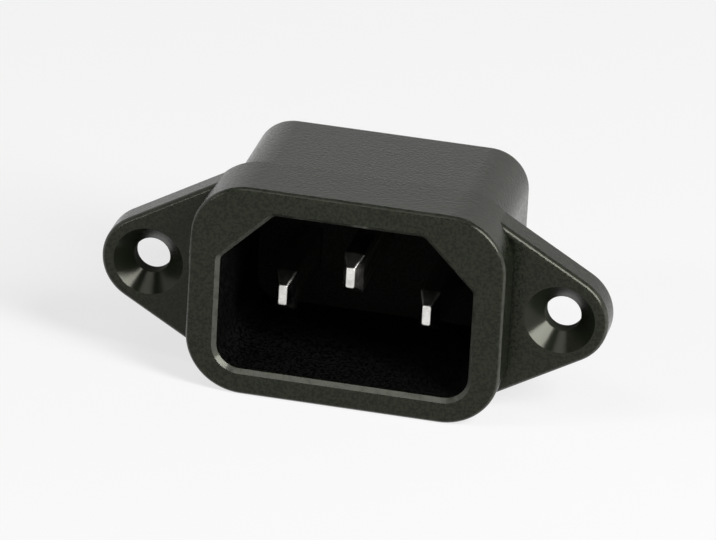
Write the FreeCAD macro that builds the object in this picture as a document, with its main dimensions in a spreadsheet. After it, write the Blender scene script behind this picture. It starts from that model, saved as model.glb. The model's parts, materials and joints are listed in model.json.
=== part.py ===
# C14 panel inlet socket, a FreeCAD macro in millimetres.
# X runs across the socket, Y goes back through the panel and Z is up.
# The origin is midway between the two screw holes, on the flange's rear face, which lies on the panel.
import FreeCAD, Part
import math
import os
import Sketcher

SIZES = [
    # moulded housing
    ("collar_width", 30.5),       # raised collar round the opening
    ("collar_height", 21.4),
    ("collar_corner", 5.6),
    ("collar_rise", 3.8),         # how far the collar stands out of the flange
    ("collar_edge", 0.45),        # rounding of its front edge
    ("flange_thickness", 2.8),
    ("flange_step", 0.2),         # the flange's long edges lie this far inside the collar's
    ("flange_edge", 0.55),        # rounding of its front edge
    ("hole_spacing", 40.0),
    ("ear_radius", 4.6),
    ("screw_hole", 3.5),
    ("sink_diameter", 6.8),
    ("sink_angle", 90.0),
    ("rear_width", 27.0),         # the body that passes through the panel
    ("rear_height", 19.4),
    ("rear_corner", 4.0),
    ("rear_length", 13.4),
    ("rear_edge", 0.6),
    ("opening_width", 24.5),      # the socket's opening, with two corners cut at 45 degrees
    ("opening_height", 16.3),
    ("opening_cut", 5.0),
    ("opening_round", 2.4),       # lower corners
    ("cut_round", 0.7),           # rounding at both ends of each cut corner
    ("cavity_depth", 16.6),
    ("lead_in", 0.4),             # chamfer round the opening
    ("draft_angle", 0.5),         # mould draft of the rear body and of the cavity
    # contact pins
    ("pin_width", 2.0),
    ("pin_height", 4.0),
    ("pin_edge", 0.2),
    ("pin_spacing", 14.0),
    ("pin_drop", 2.0),            # the two outer pins lie this far below the screw line
    ("earth_lift", 2.0),          # the earth pin lies this far above it
    ("outer_recess", 4.8),        # pin tips behind the collar's front face
    ("earth_recess", 2.2),
    ("tip_length", 1.5),
    ("tip_width", 0.8),
    ("tip_height", 2.0),
    ("key_depth", 1.2),           # the flat shank is let into the cavity's floor, so it can't turn
    ("tail_diameter", 1.8),       # round tail, riveted over the tab
    ("head_diameter", 3.2),
    ("head_height", 0.6),
    ("fit_clearance", 0.05),      # gap on each side of a shank and of a rivet tail
    # terminal tabs
    ("tab_width", 4.8),
    ("tab_thickness", 0.8),
    ("tab_length", 8.0),          # blade behind the rear face
    ("foot_reach", 3.0),          # from the rivet to the blade's outer face
    ("foot_tail", 2.4),           # from the rivet to the foot's free end
    ("foot_corner", 1.0),
    ("bend_radius", 0.5),
    ("tab_hole", 1.6),
    ("tab_hole_setback", 2.8),
    ("tab_nose", 1.0),            # corners cut off the blade's end
    ("tab_bevel", 0.2),
    ("seat_depth", 0.8),          # pocket in the rear face that holds a tab's foot
    ("seat_clearance", 0.1),
]

doc = FreeCAD.newDocument("panel_inlet")
sheet = doc.addObject("Spreadsheet::Sheet", "sizes")
for row, (alias, number) in enumerate(SIZES, start=1):
    sheet.set(f"A{row}", alias)
    sheet.set(f"B{row}", str(number))
    sheet.setAlias(f"B{row}", alias)
doc.recompute()


def size(formula):
    """The value of a formula of sheet aliases."""
    return float(sheet.evalExpression(formula))


def bound(formula):
    """The same formula as another object writes it, with each alias led by the sheet's name."""
    aliases = {alias for alias, number in SIZES}
    words = formula.split(" ")
    return " ".join(f"sizes.{word}" if word in aliases else word for word in words)


def new_body(name):
    body = doc.addObject("PartDesign::Body", name)
    body.Label = name
    return body


def origin_item(body, role):
    return next(item for item in body.Origin.OriginFeatures if item.Role == role)


def new_sketch(body, name, plane="XZ_Plane", offset=None):
    """A sketch on one of the body's own planes, moved along the plane's normal by a formula."""
    sketch = body.newObject("Sketcher::SketchObject", name)
    sketch.AttachmentSupport = [(origin_item(body, plane), "")]
    sketch.MapMode = "FlatFace"
    if offset:
        sketch.setExpression("AttachmentOffset.Base.z", bound(offset))
    return sketch


def bind(sketch, constraint, formula):
    """Adds one dimension to a sketch and ties it to the sheet."""
    index = sketch.addConstraint(constraint)
    sketch.setExpression(f"Constraints[{index}]", bound(formula))
    return index


def bind_point(sketch, geometry, point, across, up):
    """Ties a point's two coordinates to formulas. Each is (sign, formula), with sign 0 on the axis."""
    for kind, axis, (sign, formula) in (("DistanceX", -2, across), ("DistanceY", -1, up)):
        if sign == 0:
            sketch.addConstraint(Sketcher.Constraint("PointOnObject", geometry, point, axis))
        elif sign > 0:
            bind(sketch, Sketcher.Constraint(kind, -1, 1, geometry, point, size(formula)), formula)
        else:
            bind(sketch, Sketcher.Constraint(kind, geometry, point, -1, 1, size(formula)), formula)


def add_hull(sketch, corners):
    """Draws the outline stretched round circles, given anticlockwise as (across, up, radius)."""
    centres = []
    for (side, across), (rise, up), radius in corners:
        x = side * size(across) if side else 0.0
        y = rise * size(up) if rise else 0.0
        centres.append((x, y, size(radius)))
    count = len(centres)
    normals = []
    for index, (x, y, radius) in enumerate(centres):
        next_x, next_y, next_radius = centres[(index + 1) % count]
        length = math.hypot(next_x - x, next_y - y)
        heading = math.atan2(next_y - y, next_x - x)
        normals.append(heading - math.pi / 2 + math.asin((radius - next_radius) / length))
    ends = []
    for index, (x, y, radius) in enumerate(centres):
        first = normals[index - 1]
        last = normals[index]
        while last < first:
            last += 2 * math.pi
        circle = Part.Circle(FreeCAD.Vector(x, y, 0), FreeCAD.Vector(0, 0, 1), radius)
        arc = sketch.addGeometry(Part.ArcOfCircle(circle, first, last))
        start = FreeCAD.Vector(x + radius * math.cos(first), y + radius * math.sin(first), 0)
        stop = FreeCAD.Vector(x + radius * math.cos(last), y + radius * math.sin(last), 0)
        ends.append((arc, start, stop))
    for index, (arc, start, stop) in enumerate(ends):
        next_arc, next_start, next_stop = ends[(index + 1) % count]
        line = sketch.addGeometry(Part.LineSegment(stop, next_start))
        sketch.addConstraint(Sketcher.Constraint("Tangent", arc, 2, line, 1))
        sketch.addConstraint(Sketcher.Constraint("Tangent", line, 2, next_arc, 1))
    for (arc, start, stop), (across, up, radius) in zip(ends, corners):
        bind_point(sketch, arc, 3, across, up)
        bind(sketch, Sketcher.Constraint("Radius", arc, size(radius)), radius)


def rounded_rectangle(width, height, radius):
    """The four corners of a centred rectangle, as add_hull takes them."""
    across = f"( {width} ) / 2 - {radius}"
    up = f"( {height} ) / 2 - {radius}"
    signs = [(1, 1), (-1, 1), (-1, -1), (1, -1)]
    return [((side, across), (rise, up), radius) for side, rise in signs]


def add_rectangle(sketch, left, right, low, high):
    """Draws a plain rectangle. Each side is (sign, formula) as in bind_point."""
    x1, x2 = [sign * size(formula) for sign, formula in (left, right)]
    y1, y2 = [sign * size(formula) for sign, formula in (low, high)]
    spots = [(x1, y1), (x2, y1), (x2, y2), (x1, y2)]
    lines = []
    for index, (x, y) in enumerate(spots):
        next_x, next_y = spots[(index + 1) % 4]
        segment = Part.LineSegment(FreeCAD.Vector(x, y, 0), FreeCAD.Vector(next_x, next_y, 0))
        lines.append(sketch.addGeometry(segment))
    for index, line in enumerate(lines):
        sketch.addConstraint(Sketcher.Constraint("Coincident", line, 2, lines[(index + 1) % 4], 1))
        direction = "Horizontal" if index % 2 == 0 else "Vertical"
        sketch.addConstraint(Sketcher.Constraint(direction, line))
    bind_point(sketch, lines[0], 1, left, low)
    bind_point(sketch, lines[2], 1, right, high)


def add_circle(sketch, across, up, diameter):
    x = across[0] * size(across[1]) if across[0] else 0.0
    y = up[0] * size(up[1]) if up[0] else 0.0
    centre = FreeCAD.Vector(x, y, 0)
    circle = sketch.addGeometry(Part.Circle(centre, FreeCAD.Vector(0, 0, 1), size(diameter) / 2))
    bind_point(sketch, circle, 3, across, up)
    bind(sketch, Sketcher.Constraint("Diameter", circle, size(diameter)), diameter)


def extrude(body, kind, name, sketch, length, back=False, draft=None):
    """A Pad or a Pocket of a sketch. Without back, a pad goes along the normal and a pocket against it."""
    feature = body.newObject(f"PartDesign::{kind}", name)
    feature.Profile = sketch
    feature.Reversed = back
    feature.setExpression("Length", bound(length))
    if draft:
        feature.setExpression("TaperAngle", bound(draft))
    doc.recompute()
    return feature


def dress(body, kind, name, amount, picks):
    """A Fillet or a Chamfer on the edges of the body's last feature that picks accepts."""
    base = body.Tip
    edges = [f"Edge{number}" for number, edge in enumerate(base.Shape.Edges, start=1) if picks(edge)]
    feature = body.newObject(f"PartDesign::{kind}", name)
    feature.Base = (base, edges)
    feature.setExpression("Radius" if kind == "Fillet" else "Size", bound(amount))
    doc.recompute()
    return feature


def lies_at(edge, axis, place):
    """True where the whole edge has this coordinate."""
    box = edge.BoundBox
    low = {"x": box.XMin, "y": box.YMin, "z": box.ZMin}[axis]
    high = {"x": box.XMax, "y": box.YMax, "z": box.ZMax}[axis]
    return abs(low - place) < 0.01 and abs(high - place) < 0.01


def lies_within(edge, half_width, half_height):
    """True where the whole edge is this near to the socket's middle line."""
    box = edge.BoundBox
    across = max(-box.XMin, box.XMax)
    up = max(-box.ZMin, box.ZMax)
    return across < half_width and up < half_height


def flange_corners():
    """Four corners inside the collar's, and the two ears, anticlockwise from the upper right."""
    across = "collar_width / 2 - collar_corner"
    up = "collar_height / 2 - collar_corner"
    radius = "collar_corner - flange_step"
    ear = "hole_spacing / 2"
    return [
        ((1, across), (1, up), radius),
        ((-1, across), (1, up), radius),
        ((-1, ear), (0, ""), "ear_radius"),
        ((-1, across), (-1, up), radius),
        ((1, across), (-1, up), radius),
        ((1, ear), (0, ""), "ear_radius"),
    ]


def opening_corners():
    """Two rounded lower corners, and two arcs at the ends of each 45 degree cut."""
    side = "opening_width / 2 - cut_round"
    top = "opening_height / 2 - cut_round"
    cut_low = "opening_height / 2 - opening_cut - cut_round * ( sqrt(2) - 1 )"
    cut_in = "opening_width / 2 - opening_cut - cut_round * ( sqrt(2) - 1 )"
    lower_side = "opening_width / 2 - opening_round"
    lower = "opening_height / 2 - opening_round"
    return [
        ((1, side), (1, cut_low), "cut_round"),
        ((1, cut_in), (1, top), "cut_round"),
        ((-1, cut_in), (1, top), "cut_round"),
        ((-1, side), (1, cut_low), "cut_round"),
        ((-1, lower_side), (-1, lower), "opening_round"),
        ((1, lower_side), (-1, lower), "opening_round"),
    ]


# Each contact: name, the pin's place across and up as (sign, formula), its tip's recess,
# and the way its tab's foot points from the rivet.
CONTACTS = [
    ("left", (-1, "pin_spacing / 2"), (-1, "pin_drop"), "outer_recess", "leftwards"),
    ("right", (1, "pin_spacing / 2"), (-1, "pin_drop"), "outer_recess", "rightwards"),
    ("earth", (0, ""), (1, "earth_lift"), "earth_recess", "upwards"),
]
QUARTER_TURNS = {"leftwards": -1, "upwards": 0, "rightwards": 1}   # about Y

FRONT = "flange_thickness + collar_rise"               # the collar's front face, ahead of the panel
FLOOR = "cavity_depth - flange_thickness - collar_rise"  # the cavity's floor, behind the panel
SEAT = "rear_length - seat_depth"                      # where the tabs' feet lie, behind the panel


def around(place, low, high):
    """The two sides of a slot at a signed place, reaching low and high to each side of it."""
    sign, formula = place
    if sign == 0:
        return (-1, low), (1, high)
    if sign < 0:
        return (-1, f"{formula} + ( {low} )"), (-1, f"{formula} - ( {high} )")
    return (1, f"{formula} - ( {low} )"), (1, f"{formula} + ( {high} )")


def cut_slot(body, name, offset, sides, depth, back=False):
    """One pocket per contact. sides gives the slot's left, right, low and high reach from the pin."""
    for contact, across, up, recess, pointing in CONTACTS:
        sketch = new_sketch(body, f"{contact}_{name}_outline", offset=offset)
        left, right, low, high = sides(pointing)
        left_side, right_side = around(across, left, right)
        low_side, high_side = around(up, low, high)
        add_rectangle(sketch, left_side, right_side, low_side, high_side)
        before = body.Tip.Shape.Volume
        feature = extrude(body, "Pocket", f"{contact}_{name}", sketch, depth, back=back)
        if feature.Shape.Volume > before - 0.01:
            raise ValueError(f"{feature.Name} cuts nothing")


def key_sides(pointing):
    half_width = "pin_width / 2 + fit_clearance"
    half_height = "pin_height / 2 + fit_clearance"
    return half_width, half_width, half_height, half_height


def foot_seat_sides(pointing):
    side = "tab_width / 2 + seat_clearance"
    tail = "foot_tail + seat_clearance"
    reach = "foot_reach + seat_clearance"
    if pointing == "upwards":
        return side, side, tail, reach
    if pointing == "leftwards":
        return reach, tail, side, side
    return tail, reach, side, side


def make_housing():
    """The one-piece moulding: rear body, eared flange, collar, cavity and the seats of the contacts."""
    body = new_body("housing")

    outline = new_sketch(body, "rear_outline")
    add_hull(outline, rounded_rectangle("rear_width", "rear_height", "rear_corner"))
    extrude(body, "Pad", "rear_body", outline, "rear_length", back=True, draft="-1 * draft_angle")
    rear_face = size("rear_length")
    dress(body, "Fillet", "rear_rounding", "rear_edge", lambda edge: lies_at(edge, "y", rear_face))

    outline = new_sketch(body, "flange_outline")
    add_hull(outline, flange_corners())
    extrude(body, "Pad", "flange", outline, "flange_thickness")
    flange_front = -size("flange_thickness")
    dress(body, "Fillet", "flange_rounding", "flange_edge", lambda edge: lies_at(edge, "y", flange_front))

    outline = new_sketch(body, "collar_outline")
    add_hull(outline, rounded_rectangle("collar_width", "collar_height", "collar_corner"))
    extrude(body, "Pad", "collar", outline, FRONT)
    front = -size(FRONT)
    dress(body, "Fillet", "collar_rounding", "collar_edge", lambda edge: lies_at(edge, "y", front))

    outline = new_sketch(body, "opening_outline", offset=FRONT)
    add_hull(outline, opening_corners())
    extrude(body, "Pocket", "cavity", outline, "cavity_depth", draft="-1 * draft_angle")
    half_width = size("opening_width / 2") + 0.01
    half_height = size("opening_height / 2") + 0.01
    dress(body, "Chamfer", "mouth_lead_in", "lead_in",
          lambda edge: lies_at(edge, "y", front) and lies_within(edge, half_width, half_height))

    sketch = new_sketch(body, "screw_places", offset="flange_thickness")
    for side in (-1, 1):
        add_circle(sketch, (side, "hole_spacing / 2"), (0, ""), "screw_hole")
    doc.recompute()
    holes = body.newObject("PartDesign::Hole", "screw_holes")
    holes.Profile = sketch
    holes.ThreadType = "None"
    holes.HoleCutType = "Countersink"
    holes.DepthType = "ThroughAll"
    holes.DrillPoint = "Flat"
    holes.setExpression("Diameter", bound("screw_hole"))
    holes.setExpression("HoleCutDiameter", bound("sink_diameter"))
    holes.setExpression("HoleCutCountersinkAngle", bound("sink_angle"))
    doc.recompute()

    cut_slot(body, "key", f"-1 * ( {FLOOR} )", key_sides, "key_depth")
    cut_slot(body, "foot_seat", "-1 * rear_length", foot_seat_sides, "seat_depth", back=True)
    sketch = new_sketch(body, "tail_places", offset=f"-1 * ( {FLOOR} )")
    for contact, across, up, recess, pointing in CONTACTS:
        add_circle(sketch, across, up, "tail_diameter + 2 * fit_clearance")
    extrude(body, "Pocket", "tail_holes", sketch, f"{SEAT} - ( {FLOOR} )")
    return body



def make_pin(name, recess):
    """A solid pin along Y: bevelled tip, flat shank keyed into the floor, round tail and rivet head."""
    body = new_body(name)
    length = f"cavity_depth - {recess}"
    shank = f"{length} - tip_length"
    foot_back = f"{SEAT} - ( {FLOOR} ) + tab_thickness"

    outline = new_sketch(body, f"{name}_shank_outline", offset=shank)
    half_width = "pin_width / 2"
    half_height = "pin_height / 2"
    add_rectangle(outline, (-1, half_width), (1, half_width), (-1, half_height), (1, half_height))
    extrude(body, "Pad", f"{name}_shank", outline, f"{shank} + key_depth", back=True)
    long_edge = size(f"{shank} + key_depth")
    dress(body, "Fillet", f"{name}_edges", "pin_edge",
          lambda edge: abs(edge.BoundBox.YLength - long_edge) < 0.01)

    base = new_sketch(body, f"{name}_tip_base", offset=shank)
    add_hull(base, rounded_rectangle("pin_width", "pin_height", "pin_edge"))
    end = new_sketch(body, f"{name}_tip_end", offset=length)
    add_hull(end, rounded_rectangle("tip_width", "tip_height", "pin_edge"))
    tip = body.newObject("PartDesign::AdditiveLoft", f"{name}_tip")
    tip.Profile = base
    tip.Sections = [end]
    tip.Ruled = True
    doc.recompute()

    outline = new_sketch(body, f"{name}_tail_outline")
    add_circle(outline, (0, ""), (0, ""), "tail_diameter")
    extrude(body, "Pad", f"{name}_tail", outline, foot_back, back=True)

    profile = new_sketch(body, f"{name}_head_profile", plane="XY_Plane")
    low = size(foot_back)
    high = size(f"{foot_back} + head_height")
    reach = size("head_diameter / 2")
    mid = FreeCAD.Vector(reach * math.sin(math.pi / 4), low + (high - low) * math.cos(math.pi / 4), 0)
    corner = FreeCAD.Vector(0, low, 0)
    rim = FreeCAD.Vector(reach, low, 0)
    crown = FreeCAD.Vector(0, high, 0)
    seat = profile.addGeometry(Part.LineSegment(corner, rim))
    dome = profile.addGeometry(Part.Arc(rim, mid, crown))
    axis = profile.addGeometry(Part.LineSegment(crown, corner))
    profile.addConstraint(Sketcher.Constraint("Horizontal", seat))
    profile.addConstraint(Sketcher.Constraint("Coincident", seat, 2, dome, 1))
    profile.addConstraint(Sketcher.Constraint("Coincident", dome, 2, axis, 1))
    profile.addConstraint(Sketcher.Constraint("Coincident", axis, 2, seat, 1))
    profile.addConstraint(Sketcher.Constraint("PointOnObject", dome, 3, -2))
    bind_point(profile, seat, 1, (0, ""), (1, foot_back))
    bind_point(profile, dome, 2, (0, ""), (1, f"{foot_back} + head_height"))
    bind(profile, Sketcher.Constraint("Distance", seat, reach), "head_diameter / 2")
    head = body.newObject("PartDesign::Revolution", f"{name}_head")
    head.Profile = profile
    head.ReferenceAxis = (profile, ["V_Axis"])
    head.Angle = 360
    doc.recompute()
    return body


def make_tab(name):
    """A bent terminal: its foot lies across Y with the rivet hole at the origin, its blade goes back."""
    body = new_body(name)
    blade_end = "seat_depth + tab_length"
    profile = new_sketch(body, f"{name}_side", plane="YZ_Plane")
    thick = "tab_thickness"
    tail = "foot_tail"
    reach = "foot_reach"
    inner = "foot_reach - tab_thickness"
    spots = [
        ((0, ""), (-1, tail)),
        ((1, thick), (-1, tail)),
        ((1, thick), (1, inner)),
        ((1, blade_end), (1, inner)),
        ((1, blade_end), (1, reach)),
        ((0, ""), (1, reach)),
    ]
    points = []
    for (side, across), (rise, up) in spots:
        points.append(FreeCAD.Vector(side * size(across) if side else 0.0, rise * size(up), 0))
    lines = []
    for index, point in enumerate(points):
        lines.append(profile.addGeometry(Part.LineSegment(point, points[(index + 1) % len(points)])))
    for index, line in enumerate(lines):
        following = lines[(index + 1) % len(lines)]
        profile.addConstraint(Sketcher.Constraint("Coincident", line, 2, following, 1))
        direction = "Horizontal" if index % 2 == 0 else "Vertical"
        profile.addConstraint(Sketcher.Constraint(direction, line))
    for index in (0, 2, 4):
        across, up = spots[index]
        bind_point(profile, lines[index], 1, across, up)
    strip = body.newObject("PartDesign::Pad", f"{name}_strip")
    strip.Profile = profile
    strip.Midplane = True
    strip.setExpression("Length", bound("tab_width"))
    doc.recompute()

    thickness = size("tab_thickness")
    inner_line = size(inner)
    outer_line = size(reach)
    dress(body, "Fillet", f"{name}_inner_bend", "bend_radius",
          lambda edge: lies_at(edge, "y", thickness) and lies_at(edge, "z", inner_line))
    dress(body, "Fillet", f"{name}_outer_bend", "bend_radius + tab_thickness",
          lambda edge: lies_at(edge, "y", 0) and lies_at(edge, "z", outer_line))
    free_end = -size(tail)
    half = size("tab_width / 2")
    side_edge = lambda edge: lies_at(edge, "x", half) or lies_at(edge, "x", -half)
    dress(body, "Fillet", f"{name}_foot_corners", "foot_corner",
          lambda edge: side_edge(edge) and lies_at(edge, "z", free_end))
    nose = size(blade_end)
    dress(body, "Chamfer", f"{name}_nose", "tab_nose",
          lambda edge: side_edge(edge) and lies_at(edge, "y", nose))
    across_nose = size("tab_width - 2 * tab_nose")
    dress(body, "Chamfer", f"{name}_bevel", "tab_bevel",
          lambda edge: lies_at(edge, "y", nose) and abs(edge.BoundBox.XLength - across_nose) < 0.01)

    outline = new_sketch(body, f"{name}_rivet_place")
    add_circle(outline, (0, ""), (0, ""), "tail_diameter + 2 * fit_clearance")
    extrude(body, "Pocket", f"{name}_rivet_hole", outline, thick)
    outline = new_sketch(body, f"{name}_hole_place", plane="XY_Plane", offset=reach)
    add_circle(outline, (0, ""), (1, f"{blade_end} - tab_hole_setback"), "tab_hole")
    extrude(body, "Pocket", f"{name}_hole", outline, thick)
    return body


def set_place(body, across, up, depth, quarter_turns=0):
    """Puts a contact's piece at its pin's place, turned about its own Y axis."""
    turn = FreeCAD.Rotation(FreeCAD.Vector(0, 1, 0), math.degrees(quarter_turns * math.pi / 2))
    body.Placement = FreeCAD.Placement(FreeCAD.Vector(), turn)
    for axis, (sign, formula) in (("x", across), ("z", up)):
        if sign:
            body.setExpression(f"Placement.Base.{axis}", bound(f"{sign} * ( {formula} )"))
    body.setExpression("Placement.Base.y", bound(depth))


pieces = [make_housing()]
for contact, across, up, recess, pointing in CONTACTS:
    pin = make_pin(f"{contact}_pin", recess)
    set_place(pin, across, up, FLOOR)
    tab = make_tab(f"{contact}_tab")
    set_place(tab, across, up, SEAT, QUARTER_TURNS[pointing])
    pieces += [pin, tab]
doc.recompute()

for item in doc.Objects:
    if "Invalid" in item.State or "Error" in item.State:
        raise RuntimeError(f"{item.Name} failed to compute")
for piece in pieces:
    if piece.Shape.isNull() or not piece.Shape.isValid():
        raise RuntimeError(f"{piece.Label} has no valid shape")

os.makedirs("parts", exist_ok=True)
for piece in pieces:
    piece.Shape.exportStep(f"parts/{piece.Label}.step")
    box = piece.Shape.BoundBox
    print(piece.Label, len(piece.Shape.Solids), round(piece.Shape.Volume, 2), "mm3",
          [round(side, 2) for side in (box.XMin, box.XMax, box.YMin, box.YMax, box.ZMin, box.ZMax)])
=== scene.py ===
import json
import math

import bpy
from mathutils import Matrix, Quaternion, Vector


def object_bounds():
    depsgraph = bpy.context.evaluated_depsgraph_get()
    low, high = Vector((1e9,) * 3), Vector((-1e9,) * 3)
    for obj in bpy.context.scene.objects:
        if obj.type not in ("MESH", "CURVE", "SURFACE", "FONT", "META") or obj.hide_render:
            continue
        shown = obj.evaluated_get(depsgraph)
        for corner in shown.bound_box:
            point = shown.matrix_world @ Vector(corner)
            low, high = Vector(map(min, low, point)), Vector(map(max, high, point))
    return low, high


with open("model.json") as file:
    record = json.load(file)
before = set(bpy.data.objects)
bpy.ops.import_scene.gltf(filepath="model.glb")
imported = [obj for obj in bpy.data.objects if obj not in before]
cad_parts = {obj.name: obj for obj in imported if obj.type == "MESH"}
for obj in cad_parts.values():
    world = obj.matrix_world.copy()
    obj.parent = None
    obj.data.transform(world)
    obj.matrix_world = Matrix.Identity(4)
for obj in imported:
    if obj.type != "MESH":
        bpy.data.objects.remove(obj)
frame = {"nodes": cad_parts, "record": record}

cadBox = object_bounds()
nodes = frame["nodes"]
record = frame["record"]
mounts = {mount["name"]: mount for mount in record["mounts"]}
print("frame loaded:", ", ".join(sorted(nodes)))


# helpers for node trees

def newMaterial(name):
    material = bpy.data.materials.new(name)
    material.use_nodes = True
    tree = material.node_tree
    tree.nodes.clear()
    return material, tree


def addNode(tree, kind, place=(0, 0), **settings):
    node = tree.nodes.new(kind)
    node.location = place
    for key, value in settings.items():
        setattr(node, key, value)
    return node


def feed(tree, source, target):
    # a socket is linked, a plain value is written
    if hasattr(source, "is_output"):
        tree.links.new(source, target)
    else:
        target.default_value = source


def newGroup(name, inputs, outputs):
    group = bpy.data.node_groups.new(name, "ShaderNodeTree")
    for label, kind, default in inputs:
        socket = group.interface.new_socket(name=label, in_out="INPUT", socket_type=kind)
        socket.default_value = default
    for label in outputs:
        group.interface.new_socket(name=label, in_out="OUTPUT", socket_type="NodeSocketFloat")
    start = addNode(group, "NodeGroupInput", (-1100, 0))
    end = addNode(group, "NodeGroupOutput", (900, 0))
    return group, start, end


def placeGroup(tree, group, place, values):
    node = addNode(tree, "ShaderNodeGroup", place, node_tree=group)
    for label, value in values.items():
        feed(tree, value, node.inputs[label])
    return node.outputs


def mathNode(tree, operation, place, *values):
    node = addNode(tree, "ShaderNodeMath", place, operation=operation)
    for index, value in enumerate(values):
        feed(tree, value, node.inputs[index])
    return node.outputs[0]


def invert(tree, place, value):
    return mathNode(tree, "SUBTRACT", place, 1.0, value)


def vectorNode(tree, operation, place, *values):
    node = addNode(tree, "ShaderNodeVectorMath", place, operation=operation)
    for index, value in enumerate(values):
        feed(tree, value, node.inputs[index])
    return node.outputs


def ramp(tree, place, value, fromRange, toLow=0.0, toHigh=1.0):
    node = addNode(tree, "ShaderNodeMapRange", place, interpolation_type="SMOOTHSTEP")
    for label, source in (("Value", value), ("From Min", fromRange[0]), ("From Max", fromRange[1]),
                          ("To Min", toLow), ("To Max", toHigh)):
        feed(tree, source, node.inputs[label])
    return node.outputs[0]


def mixValue(tree, place, factor, first, second, kind="FLOAT"):
    node = addNode(tree, "ShaderNodeMix", place, data_type=kind)
    for label, source in (("Factor", factor), ("A", first), ("B", second)):
        feed(tree, source, node.inputs[label])
    return node.outputs["Result"]


def mixColor(tree, place, factor, first, second):
    return mixValue(tree, place, factor, first, second, kind="RGBA")


def addNoise(tree, place, vector, scale, detail=2.0, roughness=0.5):
    node = addNode(tree, "ShaderNodeTexNoise", place)
    for label, source in (("Vector", vector), ("Scale", scale), ("Detail", detail), ("Roughness", roughness)):
        feed(tree, source, node.inputs[label])
    return node.outputs[0]


# effects for the materials, each a group

grainShape = {
    "fineDetail": 3.0,
    "fineRoughness": 0.62,
    "patchDetail": 4.0,
    "patchRoughness": 0.65,
    "specks": (0.42, 0.58),         # noise between these turns from dark to pale
    "patches": (0.32, 0.68),
}


def makeGrain():
    # Height is the fine grain for a bump, Specks the same grain as colour, Patches slow cloudiness
    group, start, end = newGroup(
        "surfaceGrain",
        [("Fine Scale", "NodeSocketFloat", 5000.0), ("Patch Scale", "NodeSocketFloat", 350.0),
         ("Stretch", "NodeSocketVector", (1, 1, 1))],
        ["Height", "Specks", "Patches"],
    )
    coords = addNode(group, "ShaderNodeTexCoord", (-1100, -250)).outputs["Object"]
    stretched = vectorNode(group, "MULTIPLY", (-850, -100), coords, start.outputs["Stretch"])[0]
    fine = addNoise(group, (-550, 150), stretched, start.outputs["Fine Scale"],
                    grainShape["fineDetail"], grainShape["fineRoughness"])
    patches = addNoise(group, (-550, -200), stretched, start.outputs["Patch Scale"],
                       grainShape["patchDetail"], grainShape["patchRoughness"])
    feed(group, fine, end.inputs["Height"])
    feed(group, ramp(group, (-100, 0), fine, grainShape["specks"]), end.inputs["Specks"])
    feed(group, ramp(group, (-100, -250), patches, grainShape["patches"]), end.inputs["Patches"])
    return group


edgeShape = {
    "flat": 0.98,                   # a surface that faces front this squarely is no rounding
    "turned": (0.08, 0.22),         # facing times its rest to 1, which peaks half way round
    "upright": (0.10, 0.50),        # how far up or down the surface looks
    "levelShare": 0.45,             # how much of the pale edging, wear and painted highlight, reaches level edges
    "broken": (0.25, 0.60),         # noise between these thins the pale edging
    "leastBroken": 0.55,            # and leaves this much of it
}


def makeFrontEdges():
    # Turned is 1 where a rounding or chamfer has turned half way from facing front, and Mask is the
    # same broken up by noise. Front is 1 on flats that face front or back, Upright 1 on upright edges
    group, start, end = newGroup(
        "frontEdges",
        [("Break Up", "NodeSocketFloat", 1200.0)],
        ["Mask", "Turned", "Front", "Upright"],
    )
    coords = addNode(group, "ShaderNodeTexCoord", (-1100, 300))
    parts = addNode(group, "ShaderNodeSeparateXYZ", (-900, 300))
    feed(group, coords.outputs["Normal"], parts.inputs[0])
    facing = mathNode(group, "ABSOLUTE", (-700, 300), parts.outputs["Y"])
    front = mathNode(group, "GREATER_THAN", (300, -200), facing, edgeShape["flat"])
    level = mathNode(group, "ABSOLUTE", (100, -300), parts.outputs["Z"])
    upright = ramp(group, (300, -300), level, edgeShape["upright"], 1.0, edgeShape["levelShare"])
    turned = mathNode(group, "MULTIPLY", (-500, 300), facing, invert(group, (-600, 200), facing))
    turned = ramp(group, (-300, 300), turned, edgeShape["turned"])
    noise = addNoise(group, (-450, -300), coords.outputs["Object"], start.outputs["Break Up"])
    broken = ramp(group, (-200, -300), noise, edgeShape["broken"], edgeShape["leastBroken"])
    feed(group, mathNode(group, "MULTIPLY", (300, 0), turned, broken), end.inputs["Mask"])
    feed(group, turned, end.inputs["Turned"])
    feed(group, front, end.inputs["Front"])
    feed(group, upright, end.inputs["Upright"])
    return group


creaseShape = {
    "samples": 8,
    "openness": (0.45, 0.95),       # share of open sky from a full crease to none
}


def makeCreaseShade():
    # Mask is 1 deep in an inner corner, shut in from the open sky, where the colour is darkened as painted
    # shade
    group, start, end = newGroup("creaseShade", [("Reach", "NodeSocketFloat", 0.0006)], ["Mask"])
    openness = addNode(group, "ShaderNodeAmbientOcclusion", (-500, 0),
                       samples=creaseShape["samples"], only_local=True)
    feed(group, start.outputs["Reach"], openness.inputs["Distance"])
    shut = ramp(group, (0, 0), openness.outputs["AO"], creaseShape["openness"], 1.0, 0.0)
    feed(group, shut, end.inputs["Mask"])
    return group


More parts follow.
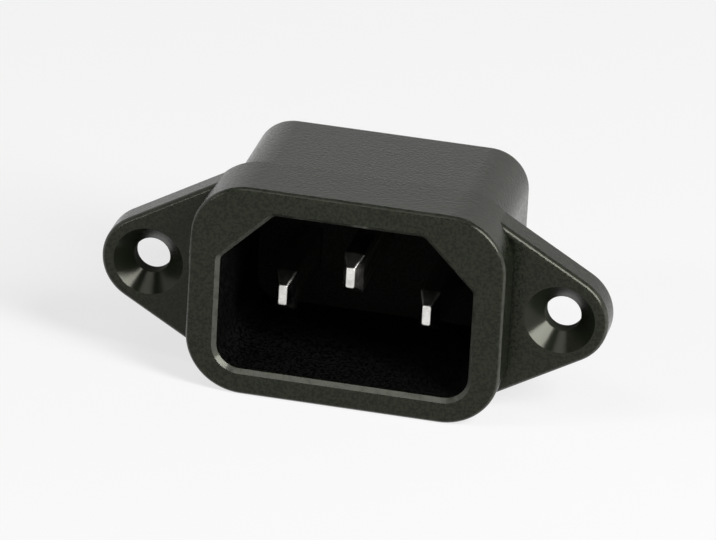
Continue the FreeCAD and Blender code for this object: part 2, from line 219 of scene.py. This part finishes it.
def makeInsideBox():
    # Mask is 1 on surfaces in the box that face its middle, and falls to 0 over Fade outside it
    group, start, end = newGroup(
        "insideBox",
        [("Middle", "NodeSocketVector", (0, 0, 0)), ("Half", "NodeSocketVector", (1, 1, 1)),
         ("Fade", "NodeSocketFloat", 0.001)],
        ["Mask"],
    )
    coords = addNode(group, "ShaderNodeTexCoord", (-1100, 200))
    inward = vectorNode(group, "SUBTRACT", (-850, 200), coords.outputs["Object"], start.outputs["Middle"])[0]
    away = vectorNode(group, "ABSOLUTE", (-650, 200), inward)[0]
    past = vectorNode(group, "SUBTRACT", (-450, 200), away, start.outputs["Half"])[0]
    parts = addNode(group, "ShaderNodeSeparateXYZ", (-250, 200))
    feed(group, past, parts.inputs[0])
    furthest = mathNode(group, "MAXIMUM", (-50, 200), parts.outputs["X"], parts.outputs["Y"])
    furthest = mathNode(group, "MAXIMUM", (100, 200), furthest, parts.outputs["Z"])
    near = ramp(group, (300, 100), furthest, (0.0, start.outputs["Fade"]), 1.0, 0.0)
    outward = vectorNode(group, "DOT_PRODUCT", (-50, -150), coords.outputs["Normal"], inward)["Value"]
    facing = mathNode(group, "LESS_THAN", (300, -150), outward, 0.0)
    feed(group, mathNode(group, "MULTIPLY", (600, 0), near, facing), end.inputs["Mask"])
    return group


def makeNearScrews():
    # Mask is 1 within Radius of either of two lines along Y, at Spacing / 2 to each side
    group, start, end = newGroup(
        "nearScrews",
        [("Spacing", "NodeSocketFloat", 0.04), ("Radius", "NodeSocketFloat", 0.003),
         ("Fade", "NodeSocketFloat", 0.0002)],
        ["Mask"],
    )
    coords = addNode(group, "ShaderNodeTexCoord", (-1100, 200))
    parts = addNode(group, "ShaderNodeSeparateXYZ", (-900, 200))
    feed(group, coords.outputs["Object"], parts.inputs[0])
    side = mathNode(group, "ABSOLUTE", (-700, 200), parts.outputs["X"])
    half = mathNode(group, "MULTIPLY", (-700, 0), start.outputs["Spacing"], 0.5)
    across = mathNode(group, "SUBTRACT", (-500, 100), side, half)
    flat = addNode(group, "ShaderNodeCombineXYZ", (-300, 100))
    feed(group, across, flat.inputs["X"])
    feed(group, parts.outputs["Z"], flat.inputs["Z"])
    distance = vectorNode(group, "LENGTH", (-100, 100), flat.outputs[0])["Value"]
    past = mathNode(group, "SUBTRACT", (100, 100), distance, start.outputs["Radius"])
    near = ramp(group, (400, 100), past, (0.0, start.outputs["Fade"]), 1.0, 0.0)
    feed(group, near, end.inputs["Mask"])
    return group


surfaceGrain = makeGrain()
frontEdges = makeFrontEdges()
creaseShade = makeCreaseShade()
insideBox = makeInsideBox()
nearScrews = makeNearScrews()
print("effects ready")


# black moulding of the housing

blackMoulding = {
    "deepColor": (0.0042, 0.0055, 0.0030, 1.0),
    "paleColor": (0.0186, 0.0224, 0.0134, 1.0),
    "cloudiness": 0.15,             # share of slow patches in the speckle
    "wearAndSheenColor": (0.120, 0.123, 0.105, 1.0),
    "wearAndSheen": 0.45,                 # how far the upright front edges are painted pale, partly as wear and partly as a painted highlight
    "mouthWearAndSheen": 0.65,            # and the socket's mouth, worn where connectors slide in and painted pale as a highlight
    "breakUp": 1200.0,              # scale of the gaps in the pale edging
    "creaseReach": 0.0006,
    "roughness": (0.14, 0.26),
    "edgeRoughness": 0.20,
    "specularLevel": 0.25,
    "specularTint": (1.0, 1.0, 0.86, 1.0),
    "grainScale": 3300.0,
    "grainDepth": 0.000042,
    "grainLost": 0.95,              # how much of the grain roundings and countersinks have lost
    "patchScale": 420.0,
}

socketShadeAndFinish = {                    # the cavity: its colours are painted shade, near black deep in the socket, and its walls are left rough from a coarser mould and never polished
    "deepColor": (0.0001, 0.0002, 0.0002, 1.0),
    "paleColor": (0.0056, 0.0064, 0.0058, 1.0),
    "roughness": 0.36,              # of its four walls
    "floorRoughness": 0.95,         # and of the floor that the pins stand on
    "mouth": 0.0007,                # how far behind the collar's face it starts
    "margin": 0.0006,               # past the space that a connector fills
    "mouthFade": 0.0002,
    "fade": 0.0004,
}

screwSeat = {                       # countersinks, smooth from the core pins
    "radius": 0.00342,
    "fade": 0.0002,
    "roughness": 0.20,
    "color": (0.0125, 0.0150, 0.0092, 1.0),
    "holeRoughness": 0.85,
    "holeFade": 0.00004,            # round the straight hole's own radius
}


def socketSpace():
    # lowest and highest corners of all the boxes that a connector fills
    boxes = [opening["box_m"] for opening in record["physics"]["openings"]]
    low = [min(box[0][axis] for box in boxes) for axis in range(3)]
    high = [max(box[1][axis] for box in boxes) for axis in range(3)]
    return low, high


def placeMasks(tree):
    # the mouth with the cavity, the cavity alone, the countersinks, and the straight screw holes
    low, high = socketSpace()
    middle = Vector([(low[axis] + high[axis]) / 2 for axis in range(3)])
    half = [(high[axis] - low[axis]) / 2 + socketShadeAndFinish["margin"] for axis in range(3)]
    deeper = Vector((0, socketShadeAndFinish["mouth"] + socketShadeAndFinish["margin"], 0))
    boxes = [
        {"Middle": middle, "Half": half, "Fade": socketShadeAndFinish["mouthFade"]},
        {"Middle": middle + deeper, "Half": half, "Fade": socketShadeAndFinish["fade"]},
    ]
    screws = mounts["panel_screws"]["dims"]
    spacing = screws["spacing_x_mm"] / 1000
    holeRadius = screws["hole_r_mm"] / 1000 + screwSeat["holeFade"]
    rings = [
        {"Spacing": spacing, "Radius": screwSeat["radius"], "Fade": screwSeat["fade"]},
        {"Spacing": spacing, "Radius": holeRadius, "Fade": screwSeat["holeFade"]},
    ]
    kinds = [(insideBox, values) for values in boxes] + [(nearScrews, values) for values in rings]
    return [placeGroup(tree, group, (-800, -400 - 200 * index), values)["Mask"]
            for index, (group, values) in enumerate(kinds)]


def makeMoulding(name, look):
    material, tree = newMaterial(name)
    output = addNode(tree, "ShaderNodeOutputMaterial", (1300, 0))
    shader = addNode(tree, "ShaderNodeBsdfPrincipled", (1000, 0))
    feed(tree, shader.outputs[0], output.inputs["Surface"])
    shader.inputs["Specular IOR Level"].default_value = look["specularLevel"]
    shader.inputs["Specular Tint"].default_value = look["specularTint"]

    mouth, insideShade, seat, hole = placeMasks(tree)
    grain = placeGroup(tree, surfaceGrain, (-800, 0),
                       {"Fine Scale": look["grainScale"], "Patch Scale": look["patchScale"]})
    edges = placeGroup(tree, frontEdges, (-800, 300), {"Break Up": look["breakUp"]})
    creaseShadeMask = placeGroup(tree, creaseShade, (-800, 500), {"Reach": look["creaseReach"]})["Mask"]

    cloud = mixValue(tree, (-500, 100), look["cloudiness"], grain["Specks"], grain["Patches"])
    color = mixColor(tree, (-300, 200), cloud, look["deepColor"], look["paleColor"])
    # pale edges: partly wear, partly a painted highlight along the roundings and the socket's mouth
    outer = mathNode(tree, "MULTIPLY", (-600, 600), edges["Upright"], look["wearAndSheen"])
    wearAndSheen = mixValue(tree, (-450, 450), mouth, outer, look["mouthWearAndSheen"])
    wearAndSheen = mathNode(tree, "MULTIPLY", (-300, 400), edges["Mask"], wearAndSheen)
    wearAndSheen = mathNode(tree, "MULTIPLY", (-150, 400), wearAndSheen, invert(tree, (-300, 550), seat))
    color = mixColor(tree, (0, 200), wearAndSheen, color, look["wearAndSheenColor"])
    color = mixColor(tree, (150, 200), seat, color, screwSeat["color"])
    # painted shade: inner corners are darkened to the moulding's deep colour
    color = mixColor(tree, (300, 200), creaseShadeMask, color, look["deepColor"])
    # painted shade: the cavity's colour is near black deep in the socket
    insideShadeColor = mixColor(tree, (300, 50), grain["Specks"], socketShadeAndFinish["deepColor"], socketShadeAndFinish["paleColor"])
    color = mixColor(tree, (450, 200), insideShade, color, insideShadeColor)
    feed(tree, color, shader.inputs["Base Color"])

    roughness = mixValue(tree, (-150, -100), cloud, *look["roughness"])
    roughness = mixValue(tree, (0, -100), edges["Turned"], roughness, look["edgeRoughness"])
    roughness = mixValue(tree, (150, -100), seat, roughness, screwSeat["roughness"])
    roughness = mixValue(tree, (300, -100), hole, roughness, screwSeat["holeRoughness"])
    deep = mixValue(tree, (300, -250), edges["Front"],
                    socketShadeAndFinish["roughness"], socketShadeAndFinish["floorRoughness"])
    roughness = mixValue(tree, (450, -100), insideShade, roughness, deep)
    feed(tree, roughness, shader.inputs["Roughness"])

    smooth = mathNode(tree, "MAXIMUM", (200, -350), seat, edges["Turned"])
    lost = mathNode(tree, "MULTIPLY", (350, -350), smooth, look["grainLost"])
    relief = mathNode(tree, "MULTIPLY", (600, -350), grain["Height"], invert(tree, (480, -450), lost))
    bump = addNode(tree, "ShaderNodeBump", (750, -300))
    bump.inputs["Strength"].default_value = 1.0
    bump.inputs["Distance"].default_value = look["grainDepth"]
    feed(tree, relief, bump.inputs["Height"])
    feed(tree, bump.outputs[0], shader.inputs["Normal"])
    return material


# plated contacts

brightNickel = {                    # the pins
    "deepColor": (0.62, 0.61, 0.58, 1.0),
    "paleColor": (0.84, 0.83, 0.80, 1.0),
    "roughness": (0.12, 0.24),
    "stretch": (1.0, 0.06, 1.0),    # grain drawn out along the contact
    "grainScale": 6000.0,
    "patchScale": 900.0,
    "grainDepth": 0.000004,
    "grainStrength": 0.5,
    "edgeRadius": 0.00020,          # how far sharp edges look worn round
    "edgeSamples": 6,
}

dullTin = {                         # the terminal tabs
    "deepColor": (0.44, 0.43, 0.41, 1.0),
    "paleColor": (0.66, 0.65, 0.62, 1.0),
    "roughness": (0.26, 0.42),
    "stretch": (1.0, 0.08, 1.0),
    "grainScale": 5000.0,
    "patchScale": 900.0,
    "grainDepth": 0.000006,
    "grainStrength": 0.5,
    "edgeRadius": 0.00010,
    "edgeSamples": 6,
}


def makePlating(name, look):
    material, tree = newMaterial(name)
    output = addNode(tree, "ShaderNodeOutputMaterial", (900, 0))
    shader = addNode(tree, "ShaderNodeBsdfPrincipled", (600, 0))
    feed(tree, shader.outputs[0], output.inputs["Surface"])
    shader.inputs["Metallic"].default_value = 1.0
    grain = placeGroup(tree, surfaceGrain, (-600, 0),
                       {"Fine Scale": look["grainScale"], "Patch Scale": look["patchScale"],
                        "Stretch": look["stretch"]})
    color = mixColor(tree, (-200, 200), grain["Patches"], look["deepColor"], look["paleColor"])
    feed(tree, color, shader.inputs["Base Color"])
    feed(tree, mixValue(tree, (-200, -50), grain["Patches"], *look["roughness"]), shader.inputs["Roughness"])
    rounded = addNode(tree, "ShaderNodeBevel", (0, -400), samples=look["edgeSamples"])
    rounded.inputs["Radius"].default_value = look["edgeRadius"]
    bump = addNode(tree, "ShaderNodeBump", (300, -250))
    bump.inputs["Strength"].default_value = look["grainStrength"]
    bump.inputs["Distance"].default_value = look["grainDepth"]
    feed(tree, grain["Height"], bump.inputs["Height"])
    feed(tree, rounded.outputs[0], bump.inputs["Normal"])
    feed(tree, bump.outputs[0], shader.inputs["Normal"])
    return material


housingMaterial = makeMoulding("blackMoulding", blackMoulding)
pinMaterial = makePlating("brightNickel", brightNickel)
tabMaterial = makePlating("dullTin", dullTin)

for nodeName, node in nodes.items():
    if nodeName == "housing":
        finish = housingMaterial
    elif nodeName.endswith("_pin"):
        finish = pinMaterial
    else:
        finish = tabMaterial
    node.data.materials.clear()
    node.data.materials.append(finish)
print("materials assigned")


# floor, backdrop, lamps and camera

studio = {
    "floorSize": 3.0,
    "floorColor": (0.32, 0.32, 0.32, 1.0),
    "floorRoughness": 0.9,
    "floorLift": 0.70,              # the pale floor's own brightness, beside what the lamps give it
    "liftColor": (1.0, 1.0, 1.0, 1.0),
    "ambient": 0.26,                # the backdrop's light on matt surfaces
    "skyColor": (1.0, 1.0, 1.0, 1.0),
    "ceilingColor": (0.03, 0.03, 0.03, 1.0),
    "ceiling": (0.50, 0.68),        # sine of the height above the horizon where it starts and is full
}

lamps = {                           # in metres, degrees about the lamp's own axis, and watts
    "keyLamp": {"place": (0.446, -0.267, 0.335), "width": 0.16, "height": 0.46, "turn": 25, "power": 4.0},
    "topLamp": {"place": (-0.115, -0.250, 0.530), "width": 0.32, "height": 0.10, "turn": 0, "power": 0.30},
    "leftLamp": {"place": (-0.480, -0.290, 0.260), "width": 0.10, "height": 0.16, "turn": 0, "power": 0.60},
}

shot = {                            # in degrees round the part, metres, and millimetres for the lens
    "elevation": 24.7,
    "azimuth": 11.6,
    "roll": 3.2,
    "distance": 0.80,
    "lens": 422.0,
    "sensor": 36.0,
    "clipStart": 0.01,
    "aim": (-0.0009, 0.0034, -0.0007),
}


def makeFloor():
    bpy.ops.mesh.primitive_plane_add(size=studio["floorSize"], location=(0, 0, cadBox[0][2]))
    floor = bpy.context.active_object
    floor.name = "studioFloor"
    material, tree = newMaterial("studioFloor")
    output = addNode(tree, "ShaderNodeOutputMaterial", (600, 0))
    shader = addNode(tree, "ShaderNodeBsdfPrincipled", (300, 0))
    shader.inputs["Base Color"].default_value = studio["floorColor"]
    shader.inputs["Roughness"].default_value = studio["floorRoughness"]
    shader.inputs["Specular IOR Level"].default_value = 0.0
    shader.inputs["Emission Color"].default_value = studio["liftColor"]
    path = addNode(tree, "ShaderNodeLightPath", (-300, -200)).outputs
    seen = mathNode(tree, "MAXIMUM", (-100, -200), path["Is Camera Ray"], path["Is Glossy Ray"])
    lift = mathNode(tree, "MULTIPLY", (100, -200), seen, studio["floorLift"])
    feed(tree, lift, shader.inputs["Emission Strength"])
    feed(tree, shader.outputs[0], output.inputs["Surface"])
    floor.data.materials.append(material)


def makeWorld():
    # a white backdrop all round, up to a dim ceiling
    world = bpy.data.worlds.new("studioWorld")
    bpy.context.scene.world = world
    world.use_nodes = True
    tree = world.node_tree
    tree.nodes.clear()
    output = addNode(tree, "ShaderNodeOutputWorld", (600, 0))
    background = addNode(tree, "ShaderNodeBackground", (300, 0))
    coords = addNode(tree, "ShaderNodeTexCoord", (-700, 300))
    parts = addNode(tree, "ShaderNodeSeparateXYZ", (-500, 300))
    feed(tree, coords.outputs["Generated"], parts.inputs[0])
    ceiling = ramp(tree, (-250, 300), parts.outputs["Z"], studio["ceiling"])
    sky = mixColor(tree, (0, 300), ceiling, studio["skyColor"], studio["ceilingColor"])
    feed(tree, sky, background.inputs["Color"])
    path = addNode(tree, "ShaderNodeLightPath", (-500, 0)).outputs
    seen = mathNode(tree, "MAXIMUM", (-300, 0), path["Is Camera Ray"], path["Is Glossy Ray"])
    seen = mathNode(tree, "MAXIMUM", (-150, 0), seen, path["Is Transmission Ray"])
    feed(tree, mixValue(tree, (50, 0), seen, studio["ambient"], 1.0), background.inputs["Strength"])
    feed(tree, background.outputs[0], output.inputs["Surface"])


def aimAlong(direction, degrees):
    # the rotation of a lamp or camera that looks this way, rolled about its own axis
    return direction.to_track_quat("-Z", "Y") @ Quaternion((0, 0, 1), math.radians(degrees))


def addLamp(name, place, width, height, turn, power):
    data = bpy.data.lights.new(name, "AREA")
    data.shape = "RECTANGLE"
    data.size = width
    data.size_y = height
    data.energy = power
    lamp = bpy.data.objects.new(name, data)
    lamp.location = place
    lamp.rotation_mode = "QUATERNION"
    lamp.rotation_quaternion = aimAlong(-Vector(place), turn)
    bpy.context.scene.collection.objects.link(lamp)


def addCamera():
    up = math.radians(shot["elevation"])
    around = math.radians(shot["azimuth"])
    back = Vector((math.sin(around) * math.cos(up), -math.cos(around) * math.cos(up), math.sin(up)))
    data = bpy.data.cameras.new("camera")
    data.lens = shot["lens"]
    data.sensor_width = shot["sensor"]
    data.clip_start = shot["clipStart"]
    camera = bpy.data.objects.new("camera", data)
    camera.location = Vector(shot["aim"]) + back * shot["distance"]
    camera.rotation_mode = "QUATERNION"
    camera.rotation_quaternion = aimAlong(-back, shot["roll"])
    bpy.context.scene.collection.objects.link(camera)
    bpy.context.scene.camera = camera


makeFloor()
makeWorld()
for lampName, settings in lamps.items():
    addLamp(lampName, **settings)
addCamera()
bpy.context.scene.view_settings.view_transform = "Standard"
print("floor, backdrop, lamps and camera ready")
